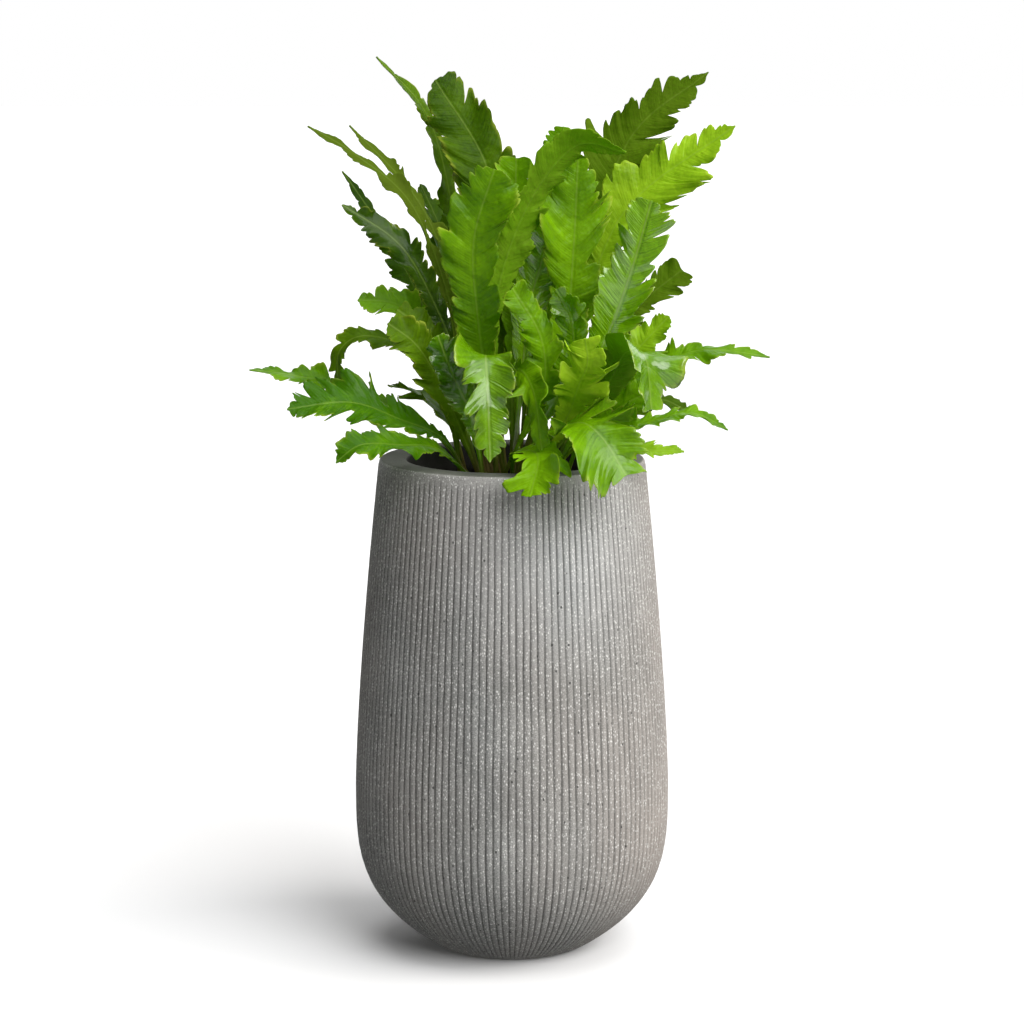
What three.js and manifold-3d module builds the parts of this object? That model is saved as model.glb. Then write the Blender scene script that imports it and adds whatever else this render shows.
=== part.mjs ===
// A potted bird's nest fern of the frilled, cut-leaved kind, in a tall ribbed cement planter.
// Millimetres, +Z up, the origin at the centre of the planter's foot, -Y towards the viewer.
// Each frond is a thin waved blade with a lobed margin, which rises from its own hole in the crown.
import * as THREE from "three";
import Module from "manifold-3d";
import { mergeVertices } from "three/addons/utils/BufferGeometryUtils.js";

const wasm = await Module();
wasm.setup();

// Driving dimensions of the planter
const POT_HEIGHT = 380;
const FOOT_RADIUS = 57;
const BELLY_RADIUS = 121;
const BELLY_HEIGHT = 125;
const RIM_RADIUS = 101.4;
const MOUTH_RADIUS = 80;
const WALL = 10;
const FLOOR = 14;
const LIP_DEPTH = 22;
const RIM_ROUND = 3;
const RIB_COUNT = 120;
const RIB_DEPTH = 1.3;
const RIBBED_HEIGHTS = [5, 15, 30, 52, 85, 130, 240, 371];
const CAVITY_HEIGHTS = [344, 250, 125, 50, FLOOR];

// Driving dimensions of the soil and the crown
const SOIL_TOP = 350;
const CLEARANCE = 0.35;
const CROWN_RADIUS = 43;
const CROWN_RISE = 9;
const CROWN_SUNK = 12;
const ROOT_DEPTH = 7;
const ROOT_ABOVE = 7;

// Driving dimensions of a frond
const STALK_WIDTH = 3.4;
const RIB_THICKNESS = 1.9;
const EDGE_THICKNESS = 0.8;
const STALK_SHARE = 0.2;
const RISE_POWER = 1.4;
const TIP_WIDTH = 1.8;
const VEIN_SWEEP = 0.75;
const KEEL = 0.16;
const FRILL_WAVES = 3.4;
const FRAME_STEPS = 200;

// The crown's rings of frond roots: radius, outward lean in degrees, and roots in the ring
const RINGS = [
  { radius: 30, lean: 26, roots: 16 },
  { radius: 22.5, lean: 19, roots: 13 },
  { radius: 15.5, lean: 12, roots: 10 },
  { radius: 8.5, lean: 6, roots: 6 },
  { radius: 0, lean: 0, roots: 1 },
  { radius: 36.8, lean: 32, roots: 18 },
];

// Every frond: its name, the ring and place of its root, then the places of its rib as X, Y and height
// above the rim, and then its full width, the way its upper side faces, its twist in degrees, its lobes
// to a side, the share of the width that its cuts take, the height of its frill, and how sharply its
// tip runs out, where a small power makes a blunt tip
const FRONDS = [
  ["left_far", 0, 7, [[-63, 12, 20], [-123, 22, 49], [-163, 22, 59], [-201, 18, 65]],
    26, [0, -0.4, 1], 20, 7, 0.5, 3, 0.85],
  ["left_broad", 0, 9, [[-51, -34, 18], [-84, -52, 36], [-120, -64, 50], [-166, -72, 46]],
    48, [-0.1, -0.6, 0.8], 10, 8, 0.55, 4, 0.8],
  ["left_low", 0, 10, [[-54, -60, 14], [-83, -92, 22], [-110, -106, 24], [-128, -112, 12]],
    38, [0, -0.7, 0.8], 10, 7, 0.4, 3, 0.85],
  ["left_shaded", 1, 7, [[-43, -32, 36], [-56, -42, 66], [-72, -50, 92], [-92, -56, 108]],
    40, [0.5, -0.8, 0.4], 10, 7, 0.4, 4, 0.6],
  ["left_arch", 0, 8, [[-51, -4, 44], [-82, -10, 84], [-112, -14, 94], [-130, -18, 82], [-130, -24, 54]],
    26, [0.3, -0.5, 1], 20, 7, 0.5, 3, 0.85],
  ["left_mid", 1, 6, [[-42, 14, 41], [-60, 22, 86], [-86, 26, 113], [-118, 22, 118]],
    36, [0.3, -0.8, 0.5], 10, 7, 0.6, 3, 0.7],
  ["left_dark", 2, 4, [[-38, 34, 47], [-64, 52, 100], [-93, 60, 157], [-131, 62, 214]],
    24, [0.6, -0.8, 0.3], 20, 8, 0.5, 4, 0.9],
  ["left_lobed", 2, 5, [[-36, 4, 57], [-56, 6, 110], [-84, 6, 160], [-128, 0, 192]],
    29, [0.4, -0.8, 0.4], 20, 8, 0.65, 4, 0.7],
  ["left_long", 1, 8, [[-35, -20, 47], [-48, -34, 123], [-75, -40, 194], [-115, -40, 230], [-151, -36, 252]],
    18, [0.8, -0.5, 0.4], 10, 9, 0.6, 3, 0.7],
  ["left_high", 3, 3, [[-28, 13, 59], [-48, 26, 135], [-74, 31, 195], [-124, 35, 250]],
    19, [0.8, -0.6, 0.4], 10, 8, 0.6, 3, 0.7],
  ["left_back", 1, 4, [[-26, 46, 50], [-44, 74, 112], [-54, 92, 160], [-72, 100, 202]],
    36, [0.7, -0.7, 0.4], 10, 7, 0.4, 3, 0.6],
  ["top_broad", 3, 2, [[-12, 24, 56], [-10, 40, 146], [-20, 48, 219], [-59, 52, 284]],
    56, [0.2, -1, 0.2], 10, 8, 0.45, 4, 0.55],
  ["top_curl", 2, 3, [[-23, 40, 53], [-39, 66, 144], [-63, 80, 249], [-105, 86, 301]],
    28, [0.7, -0.7, 0.2], 40, 8, 0.5, 3, 0.85],
  ["centre_light", 2, 7, [[-17, -30, 48], [-26, -48, 117], [-28, -58, 170], [-13, -62, 222]],
    54, [-0.1, -1, 0.1], -10, 7, 0.3, 4, 0.55],
  ["centre_back", 3, 1, [[4, 15, 42], [2, 22, 126], [3, 24, 226]],
    44, [0, -1, 0.1], 10, 7, 0.3, 3, 0.4],
  ["centre_long", 3, 4, [[-10, -14, 46], [-14, -28, 115], [9, -41, 190], [46, -46, 238], [84, -52, 234]],
    36, [0.5, -0.9, 0], 10, 9, 0.35, 3, 0.7],
  ["centre_tall", 3, 5, [[18, -12, 33], [40, -17, 102], [46, -19, 161], [49, -19, 228]],
    50, [0.1, -1, 0.1], 10, 8, 0.45, 4, 0.5],
  ["centre_glossy", 4, 0, [[6, 0, 44], [13, 0, 113], [27, 2, 166], [34, 4, 206]],
    40, [-0.2, -1, 0.3], 10, 7, 0.4, 3, 0.5],
  ["centre_far", 2, 0, [[20, 8, 44], [27, 18, 120], [36, 19, 190], [39, 14, 250]],
    34, [0, -1, 0.1], 10, 7, 0.4, 3, 0.45],
  ["front_small", 2, 6, [[-7, -31, 50], [4, -67, 75], [16, -95, 62], [22, -104, 20]],
    28, [0, -1, 0.4], 0, 5, 0.5, 3, 0.6],
  ["right_dark", 2, 1, [[22, 15, 42], [53, 34, 140], [90, 44, 239], [150, 48, 290]],
    56, [-0.3, -1, 0.1], 10, 9, 0.5, 4, 0.95],
  ["right_bright", 3, 0, [[21, 0, 44], [55, 9, 120], [90, 12, 192], [168, 6, 251]],
    60, [-0.3, -1, 0.3], 10, 9, 0.72, 3, 0.95],
  ["right_glossy", 2, 9, [[34, -24, 33], [67, -38, 88], [88, -46, 145], [103, -46, 198]],
    48, [-0.1, -1, 0.4], 0, 8, 0.6, 3, 0.6],
  ["right_olive", 1, 0, [[38, 8, 43], [86, 20, 104], [130, 24, 141]],
    32, [-0.3, -0.9, 0.4], 10, 7, 0.4, 3, 0.4],
  ["right_back", 1, 1, [[44, 28, 30], [76, 44, 78], [100, 52, 112], [120, 52, 124]],
    30, [-0.6, -0.6, 0.6], 10, 7, 0.4, 3, 0.85],
  ["right_mid", 1, 12, [[44, -15, 31], [84, -22, 74], [118, -20, 110]],
    28, [-0.2, -0.8, 0.5], 20, 7, 0.5, 3, 0.6],
  ["right_bent", 1, 11, [[44, -36, 26], [71, -54, 64], [84, -70, 89], [97, -92, 86], [101, -104, 50]],
    52, [0, 0.75, 0.4], 0, 6, 0.2, 3, 0.5],
  ["right_far", 0, 0, [[48, 12, 27], [98, 22, 58], [143, 22, 79], [197, 16, 75]],
    28, [-0.1, -0.3, 1], 20, 7, 0.5, 3, 0.85],
  ["right_thin", 0, 15, [[47, -8, 18], [97, -15, 27], [134, -18, 36], [163, -22, 24]],
    24, [0, -0.3, 1], 10, 6, 0.5, 2, 0.85],
  ["right_rear", 0, 1, [[48, 30, 17], [92, 46, 29], [115, 48, 38], [138, 44, 28]],
    28, [0, -0.5, 1], 10, 6, 0.4, 2, 0.85],
  ["right_low", 0, 14, [[50, -32, 14], [84, -50, 14], [106, -58, 13], [128, -60, 13]],
    26, [0, -0.5, 1], 10, 7, 0.4, 2, 0.85],
  ["right_pale", 1, 10, [[38, -53, 33], [49, -84, 66], [55, -98, 84], [53, -104, 102]],
    42, [0.1, -1, 0.3], 0, 7, 0.45, 3, 0.5],
  ["front_broad", 0, 13, [[29, -63, 24], [49, -103, 40], [65, -126, 32], [82, -136, 6]],
    62, [0.1, -0.8, 0.8], 0, 7, 0.5, 4, 0.6],
  ["front_rim", 0, 12, [[2, -60, 11], [16, -92, 17], [19, -119, 12], [13, -138, -9]],
    43, [0, -0.9, 0.6], 0, 6, 0.6, 3, 0.65],
  ["front_droop", 0, 11, [[-12, -50, 40], [-19, -76, 86], [-18, -100, 64], [-16, -110, 12]],
    44, [0, -1, 0.4], 0, 7, 0.6, 3, 0.95],
  ["front_twist", 1, 9, [[14, -50, 37], [24, -66, 68], [20, -74, 102], [0, -78, 136]],
    32, [0.4, -0.9, 0.2], 20, 7, 0.5, 3, 0.45],
  ["front_upright", 2, 8, [[25, -36, 35], [44, -53, 74], [44, -60, 112], [32, -64, 134]],
    32, [-0.3, -0.9, 0.2], 10, 7, 0.5, 3, 0.6],
  ["back_right_low", 0, 2, [[44, 52, 20], [70, 84, 48], [88, 106, 60]],
    38, [-0.6, -0.4, 0.8], 10, 6, 0.4, 3, 0.85],
  ["back_low", 0, 3, [[20, 64, 24], [30, 100, 52], [38, 130, 54]],
    42, [0, -0.4, 1], 10, 6, 0.4, 3, 0.85],
  ["back_middle", 0, 4, [[0, 60, 40], [0, 96, 84], [-2, 124, 98]],
    44, [0, -0.7, 0.7], 10, 6, 0.4, 3, 0.6],
  ["back_left_low", 0, 5, [[-20, 62, 22], [-34, 98, 48], [-42, 130, 46]],
    42, [0, -0.4, 1], -10, 6, 0.4, 3, 0.85],
  ["back_left_far", 0, 6, [[-46, 48, 18], [-74, 76, 40], [-98, 94, 44]],
    38, [0.6, -0.3, 0.8], 10, 6, 0.4, 3, 0.85],
  ["back_right", 1, 2, [[28, 42, 50], [46, 68, 112], [56, 88, 156]],
    44, [-0.8, -0.5, 0.4], 10, 6, 0.4, 3, 0.6],
  ["back_tall", 1, 3, [[4, 46, 60], [4, 76, 130], [-2, 98, 178]],
    46, [0.6, -0.8, 0.3], -10, 6, 0.4, 4, 0.6],
  ["back_upright", 2, 2, [[12, 34, 56], [22, 54, 130], [26, 64, 196]],
    40, [-0.6, -0.8, 0.3], 10, 6, 0.4, 3, 0.5],
  ["left_inner", 5, 10, [[-46, -20, 40], [-58, -28, 78], [-72, -32, 104], [-86, -32, 116]],
    34, [0.3, -0.8, 0.3], 10, 6, 0.4, 3, 0.6],
  ["left_front", 5, 12, [[-29, -46, 34], [-44, -58, 70], [-55, -64, 100]],
    30, [0.1, -0.9, 0.2], 10, 6, 0.4, 3, 0.5],
  ["right_inner", 5, 15, [[46, -48, 18], [68, -68, 32], [92, -80, 40]],
    36, [0, -0.7, 0.7], 10, 6, 0.4, 3, 0.6],
  ["right_under", 5, 17, [[54, -24, 20], [80, -36, 42], [108, -40, 58]],
    32, [0, -0.8, 0.5], 10, 6, 0.4, 3, 0.6],
];

// Radius of the planter's outside at a height: a full curve up to the belly, then a slow taper to the rim
function potRadius(z) {
  const rise = 1 - Math.min(z, BELLY_HEIGHT) / BELLY_HEIGHT;
  const below = FOOT_RADIUS + (BELLY_RADIUS - FOOT_RADIUS) * (1 - Math.pow(rise, 3.4));
  const above = Math.max(0, z - BELLY_HEIGHT) / (POT_HEIGHT - BELLY_HEIGHT);
  return below - (BELLY_RADIUS - RIM_RADIUS) * Math.pow(above, 1.4);
}

function indexed(positions, index) {
  const geometry = new THREE.BufferGeometry();
  geometry.setAttribute("position", new THREE.Float32BufferAttribute(positions, 3));
  geometry.setIndex(index);
  return geometry;
}

// A closed solid from rings of points, each ring a list of [x, y, z], with one point at each end.
// Neighbouring rings may differ in their number of points, where one number divides the other.
function solidOfRings(start, rings, end) {
  const positions = [start, ...rings.flat(), end];
  const index = [];
  const starts = [];
  let next = 1;
  for (const ring of rings) {
    starts.push(next);
    next += ring.length;
  }
  const first = rings[0].length;
  for (let i = 0; i < first; i++) index.push(0, 1 + ((i + 1) % first), 1 + i);
  for (let k = 0; k + 1 < rings.length; k++) {
    const most = Math.max(rings[k].length, rings[k + 1].length);
    const at = (ring, i) => {
      const count = rings[ring].length;
      return starts[ring] + (Math.floor((i * count) / most) % count);
    };
    for (let i = 0; i < most; i++) {
      const [a, b, c, d] = [at(k, i), at(k, i + 1), at(k + 1, i), at(k + 1, i + 1)];
      if (a !== b) index.push(a, b, d);
      if (c !== d) index.push(a, d, c);
    }
  }
  const last = rings.length - 1;
  const final = rings[last].length;
  for (let i = 0; i < final; i++) index.push(next, starts[last] + i, starts[last] + ((i + 1) % final));
  return indexed(positions.flat(), index);
}

function ringAt(radius, z, count, offset = () => 0, rise = () => 0) {
  return Array.from({ length: count }, (_, i) => {
    const turn = (2 * Math.PI * i) / count;
    const r = radius + offset(i, turn);
    return [r * Math.cos(turn), r * Math.sin(turn), z + rise(i, turn)];
  });
}

// The planter: ribs run up the outside as crests and grooves, and fade out at the foot and under the rim
function planterGeometry() {
  const plain = RIB_COUNT / 2;
  const rings = [ringAt(FOOT_RADIUS, 0, 2 * RIB_COUNT)];
  for (const z of RIBBED_HEIGHTS)
    rings.push(ringAt(potRadius(z), z, 2 * RIB_COUNT, (i) => (i % 2 ? -RIB_DEPTH : 0)));
  rings.push(ringAt(RIM_RADIUS, POT_HEIGHT - RIM_ROUND, plain));
  rings.push(ringAt(RIM_RADIUS - RIM_ROUND, POT_HEIGHT, plain));
  rings.push(ringAt(MOUTH_RADIUS + RIM_ROUND, POT_HEIGHT, plain));
  rings.push(ringAt(MOUTH_RADIUS, POT_HEIGHT - RIM_ROUND, plain));
  rings.push(ringAt(MOUTH_RADIUS, POT_HEIGHT - LIP_DEPTH, plain));
  for (const z of CAVITY_HEIGHTS) rings.push(ringAt(potRadius(z) - WALL, z, plain));
  return solidOfRings([0, 0, 0], rings, [0, 0, FLOOR]);
}

// The soil fills the planter up to below its lip, uneven on top, with a round seat for the crown
function soilGeometry() {
  const around = RIB_COUNT / 4;
  const lumps = (height) => (i, turn) =>
    height * (Math.sin(3 * turn + 1) + 0.6 * Math.sin(7 * turn) + 0.4 * Math.sin(11 * turn + 2));
  const bottom = FLOOR + CLEARANCE;
  const seat = SOIL_TOP - CROWN_SUNK - CLEARANCE;
  const wall = (z, height = z) => ringAt(potRadius(z) - WALL - CLEARANCE, height, around);
  const rings = [
    wall(FLOOR, bottom),
    ...CAVITY_HEIGHTS.slice(1, -1).reverse().map((z) => wall(z)),
    wall(CAVITY_HEIGHTS[0], CAVITY_HEIGHTS[0] - CLEARANCE),
    ringAt(78, SOIL_TOP - 3, around, undefined, lumps(1)),
    ringAt(58, SOIL_TOP, around, undefined, lumps(1.4)),
    ringAt(CROWN_RADIUS + CLEARANCE, SOIL_TOP, around),
    ringAt(CROWN_RADIUS + CLEARANCE, seat, around),
  ];
  return solidOfRings([0, 0, bottom], rings, [0, 0, seat]);
}

// Height of the crown's rounded top at a distance from its centre
function crownHeight(r) {
  return SOIL_TOP + CROWN_RISE * (1 - Math.pow(r / CROWN_RADIUS, 2));
}

// The crown is the short upright rootstock that holds every frond, with a plain hole for each stalk
function crownGeometry(holes) {
  const around = RIB_COUNT / 4;
  const rings = [
    ringAt(CROWN_RADIUS, SOIL_TOP - CROWN_SUNK, around),
    ringAt(CROWN_RADIUS, SOIL_TOP, around),
    ringAt(26, crownHeight(26), around),
    ringAt(12, crownHeight(12), around / 2),
  ];
  const dome = toManifold(solidOfRings([0, 0, SOIL_TOP - CROWN_SUNK], rings, [0, 0, crownHeight(0)]));
  return fromManifold(holes.reduce((solid, hole) => solid.subtract(toManifold(hole)), dome));
}

function toManifold(geometry) {
  const vertProperties = geometry.attributes.position.array;
  const triVerts = new Uint32Array(geometry.index.array);
  return new wasm.Manifold(new wasm.Mesh({ numProp: 3, vertProperties, triVerts }));
}

function fromManifold(solid) {
  const mesh = solid.getMesh();
  return mergeVertices(indexed(Array.from(mesh.vertProperties), Array.from(mesh.triVerts)), 1e-3);
}

// A repeatable run of numbers from 0 to 1
function randomFrom(seed) {
  let state = seed;
  return () => {
    state = (state * 16807) % 2147483647;
    return state / 2147483647;
  };
}

// The frond's rib as a smooth curve: straight inside its hole, then through its own places
function frondCurve(ring, slot, path) {
  const { radius, lean, roots } = RINGS[ring];
  const turn = (2 * Math.PI * slot) / roots;
  const tilt = THREE.MathUtils.degToRad(lean);
  const outward = new THREE.Vector3(Math.cos(turn), Math.sin(turn), 0);
  const along = outward.clone().multiplyScalar(Math.sin(tilt)).setZ(Math.cos(tilt));
  const surface = outward.clone().multiplyScalar(radius).setZ(crownHeight(radius));
  const root = surface.clone().addScaledVector(along, -ROOT_DEPTH);
  const top = surface.clone().addScaledVector(along, ROOT_ABOVE);
  const places = path.map(([x, y, z]) => new THREE.Vector3(x, y, POT_HEIGHT + z));
  const curve = new THREE.CatmullRomCurve3([surface, top, ...places], false, "catmullrom", 0.5);
  return { root, along, curve };
}

function squareTo(along, face) {
  const square = face.clone().addScaledVector(along, -face.dot(along)).normalize();
  return { tangent: along, face: square, side: along.clone().cross(square).normalize() };
}

// Side and face directions along the curve. They are carried from the blade's middle to both ends
// without turning about the rib, and the twist is added after that.
function frondFrames(curve, facing, twist) {
  const tangents = Array.from({ length: FRAME_STEPS + 1 }, (_, i) => curve.getTangentAt(i / FRAME_STEPS));
  const middle = Math.round(FRAME_STEPS * 0.6);
  const frames = [];
  frames[middle] = squareTo(tangents[middle], new THREE.Vector3(...facing));
  for (let i = middle + 1; i <= FRAME_STEPS; i++) frames[i] = squareTo(tangents[i], frames[i - 1].face);
  for (let i = middle - 1; i >= 0; i--) frames[i] = squareTo(tangents[i], frames[i + 1].face);
  return frames.map(({ tangent, face }, i) => {
    const turn = THREE.MathUtils.degToRad((twist * (i - middle)) / FRAME_STEPS);
    return squareTo(tangent, face.clone().applyAxisAngle(tangent, turn));
  });
}

// One blade's lobes, cuts and frill, drawn once from its own seed
function frondMargin(seed, lobes, cut) {
  const random = randomFrom(seed);
  const peaks = Array.from({ length: 2 * lobes + 1 }, () => 0.84 + 0.3 * random());
  const cuts = Array.from({ length: 2 * lobes + 1 }, () => cut * (0.6 + 0.6 * random()));
  return { peaks, cuts, phases: [random(), random()] };
}

// The outline of an uncut blade: its half-width at a share u of its length, as a share of the widest
function bladeShape(u, fall) {
  const widest = RISE_POWER / (RISE_POWER + fall);
  return Math.pow(u / widest, RISE_POWER) * Math.pow((1 - u) / (1 - widest), fall);
}

// The six corners of a section: left, rib and right on the upper side, then right, rib and left below
function sectionAt(centre, frame, half, lifts, sweep, ribDepth) {
  const edge = (sign, k) =>
    centre.clone()
      .addScaledVector(frame.side, sign * half[k])
      .addScaledVector(frame.tangent, sweep * (half[k] - STALK_WIDTH / 2))
      .addScaledVector(frame.face, lifts[k]);
  const raised = (point, height) => point.clone().addScaledVector(frame.face, height).toArray();
  const [left, right] = [edge(-1, 0), edge(1, 1)];
  const edgeHalf = EDGE_THICKNESS / 2;
  return [
    raised(left, edgeHalf), raised(centre, 0.5), raised(right, edgeHalf),
    raised(right, -edgeHalf), raised(centre, -ribDepth), raised(left, -edgeHalf),
  ];
}

// A closed solid through six-cornered sections, with the same diagonals on both faces of the blade
function solidOfSections(sections) {
  const index = [];
  const quad = (a, b, c, d, mirrored) => {
    if (mirrored) index.push(a, d, b, b, d, c);
    else index.push(a, c, b, a, d, c);
  };
  for (let k = 0; k + 1 < sections.length; k++)
    for (let i = 0; i < 6; i++) {
      const j = (i + 1) % 6;
      quad(6 * k + i, 6 * k + 6 + i, 6 * k + 6 + j, 6 * k + j, i === 1 || i === 4);
    }
  index.push(0, 5, 1, 1, 5, 4, 1, 4, 2, 2, 4, 3);
  const end = 6 * (sections.length - 1);
  index.push(...[0, 1, 5, 1, 4, 5, 1, 2, 4, 2, 3, 4].map((i) => end + i));
  return indexed(sections.flat(2), index);
}

function movedSection(section, shift) {
  return section.map(([x, y, z]) => [x + shift.x, y + shift.y, z + shift.z]);
}

function frondGeometry(spec, number) {
  const [, ring, slot, path, width, facing, twist, lobes, cut, frill, fall] = spec;
  const { root, along, curve } = frondCurve(ring, slot, path);
  const frames = frondFrames(curve, facing, twist);
  const frameAt = (t) => frames[Math.round(t * FRAME_STEPS)];
  const margin = frondMargin(101 + 37 * number, lobes, cut);
  const stalk = STALK_WIDTH / 2;
  const topShare = ROOT_ABOVE / curve.getLength();
  const topPlace = curve.getPointAt(topShare);
  const topFrame = squareTo(along, frameAt(topShare).face);
  const foot = sectionAt(topPlace, topFrame, [stalk, stalk], [0, 0], 0, RIB_THICKNESS);
  const sections = [movedSection(foot, root.clone().sub(topPlace)), foot];
  const bladeStart = curve.getPointAt(STALK_SHARE);
  sections.push(sectionAt(bladeStart, frameAt(STALK_SHARE), [stalk, stalk], [0, 0], 0, RIB_THICKNESS));
  const last = 2 * lobes;
  for (let j = 1; j <= last; j++) {
    const u = j / last;
    const t = STALK_SHARE + (1 - STALK_SHARE) * u;
    const full = (width / 2) * bladeShape(u, fall) * margin.peaks[j];
    const half = [0, 1].map((side) => {
      const kept = (j + side) % 2 ? 1 : 1 - margin.cuts[j];
      return j === last ? TIP_WIDTH / 2 : Math.max(stalk, full * kept);
    });
    const lifts = [0, 1].map((side) => {
      const wave = Math.sin(2 * Math.PI * (FRILL_WAVES * u + margin.phases[side]));
      const share = half[side] / (width / 2);
      return KEEL * half[side] + frill * wave * share * share;
    });
    const sweep = j === last ? 0 : VEIN_SWEEP;
    sections.push(sectionAt(curve.getPointAt(t), frameAt(t), half, lifts, sweep, RIB_THICKNESS * (1 - 0.6 * u)));
  }
  return { geometry: solidOfSections(sections), hole: rootHole(sections[0], foot, along) };
}

// The hole for a stalk has the stalk's own section, a little larger all round, and runs out of the crown
function rootHole(bottom, top, along) {
  const grown = (section, slide) => {
    const centre = new THREE.Vector3();
    for (const corner of section) centre.addScaledVector(new THREE.Vector3(...corner), 1 / section.length);
    return section.map((corner) => {
      const out = new THREE.Vector3(...corner).sub(centre);
      const reach = 1 + (2 * CLEARANCE) / out.length();
      return centre.clone().addScaledVector(out, reach).addScaledVector(along, slide).toArray();
    });
  };
  return solidOfSections([grown(bottom, -CLEARANCE), grown(top, 4)]);
}

const COLOURS = {
  planter: [0x8b8a86, 0.85],
  soil: [0x2a2019, 0.95],
  crown: [0x4a3524, 0.9],
  frond: [0x63a522, 0.45],
};

function addMesh(name, geometry, colourName) {
  const [color, roughness] = COLOURS[colourName];
  const mesh = new THREE.Mesh(geometry, new THREE.MeshStandardMaterial({ color, roughness, metalness: 0 }));
  mesh.name = name;
  group.add(mesh);
}

const group = new THREE.Group();
group.name = "potted_fern";
addMesh("planter", planterGeometry(), "planter");
addMesh("soil", soilGeometry(), "soil");
const fronds = FRONDS.map((spec, number) => ({ name: `frond_${spec[0]}`, ...frondGeometry(spec, number) }));
addMesh("crown", crownGeometry(fronds.map((frond) => frond.hole)), "crown");
for (const frond of fronds) addMesh(frond.name, frond.geometry, "frond");

export default group;
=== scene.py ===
# %% [markdown]
# A bird's nest fern of the frilled kind grows from one short crown in a tall ribbed cement planter.
# The CAD model holds the true sizes and places. This lesson dresses it: nearly every piece below takes
# the place of one CAD node, keeps that node's measurements, and adds the detail that the eye looks for.
# Lengths are worked out in millimetres, as in the CAD source, and turned into metres at the end.

# %% The frame
import bpy
import math
import numpy as np
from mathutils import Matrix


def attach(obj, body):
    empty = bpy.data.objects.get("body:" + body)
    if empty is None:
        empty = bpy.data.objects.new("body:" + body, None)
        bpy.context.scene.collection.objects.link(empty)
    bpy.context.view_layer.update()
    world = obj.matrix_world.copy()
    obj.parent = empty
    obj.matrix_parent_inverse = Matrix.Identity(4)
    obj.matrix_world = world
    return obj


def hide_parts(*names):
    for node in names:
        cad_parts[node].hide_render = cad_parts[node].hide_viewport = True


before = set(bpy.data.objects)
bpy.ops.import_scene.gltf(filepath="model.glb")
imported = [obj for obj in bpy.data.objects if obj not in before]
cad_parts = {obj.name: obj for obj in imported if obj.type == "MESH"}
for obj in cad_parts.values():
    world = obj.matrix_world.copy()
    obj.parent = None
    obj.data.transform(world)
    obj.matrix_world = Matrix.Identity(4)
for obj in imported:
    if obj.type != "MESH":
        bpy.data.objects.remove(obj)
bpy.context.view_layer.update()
MM = 0.001
print("CAD nodes:", len(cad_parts))

# %% [markdown]
# The picture was taken from a little above the planter's rim with a long lens. A long lens far away
# keeps the planter's sides nearly straight, so the camera stands 2.4 m off and looks 9.2 degrees down
# at a point on the planter's axis. It could be aimed with a constraint, but a plain rotation is enough.

# %% The camera
CAMERA_DISTANCE = 2.4
CAMERA_PITCH = math.radians(9.2)
AIM_HEIGHT = 0.3377
LENS_MM = 110.3

camera_data = bpy.data.cameras.new("camera")
camera_data.lens = LENS_MM
camera_data.sensor_width = 36
camera_data.clip_end = 100
camera = bpy.data.objects.new("camera", camera_data)
camera_height = AIM_HEIGHT + CAMERA_DISTANCE * math.sin(CAMERA_PITCH)
camera.location = (0, -CAMERA_DISTANCE * math.cos(CAMERA_PITCH), camera_height)
camera.rotation_euler = (math.pi / 2 - CAMERA_PITCH, 0, 0)
bpy.context.scene.collection.objects.link(camera)
bpy.context.scene.camera = camera
print("camera at", tuple(round(v, 3) for v in camera.location))

# %% [markdown]
# The node trees of this lesson are written as sums. One small class wraps the output of a node, and
# its operators add Math nodes, so that a mask reads as it would on paper. A second class holds one
# material and makes every other kind of node: its settings first, and then the values of its sockets.

# %% Sockets that can be added and multiplied
class Value:
    """The output of a node in a material. An expression on values adds the Math nodes for it."""

    def __init__(self, finish, socket):
        self.finish = finish
        self.socket = socket

    def maths(self, operation, *numbers):
        settings = {"operation": operation}
        return self.finish.node("ShaderNodeMath", settings, dict(enumerate(numbers)))

    def __add__(self, other):
        return self.maths("ADD", self, other)

    def __radd__(self, other):
        return self.maths("ADD", other, self)

    def __sub__(self, other):
        return self.maths("SUBTRACT", self, other)

    def __rsub__(self, other):
        return self.maths("SUBTRACT", other, self)

    def __mul__(self, other):
        return self.maths("MULTIPLY", self, other)

    def __rmul__(self, other):
        return self.maths("MULTIPLY", other, self)

    def __truediv__(self, other):
        return self.maths("DIVIDE", self, other)

    def held(self):
        """The same value, kept between 0 and 1."""
        return self.finish.node("ShaderNodeClamp", {}, {"Value": self})

    def above(self, level, softness):
        """0 below the level and 1 above it, with a ramp as wide as the softness between them."""
        return ((self - level) / softness + 0.5).held()


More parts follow.
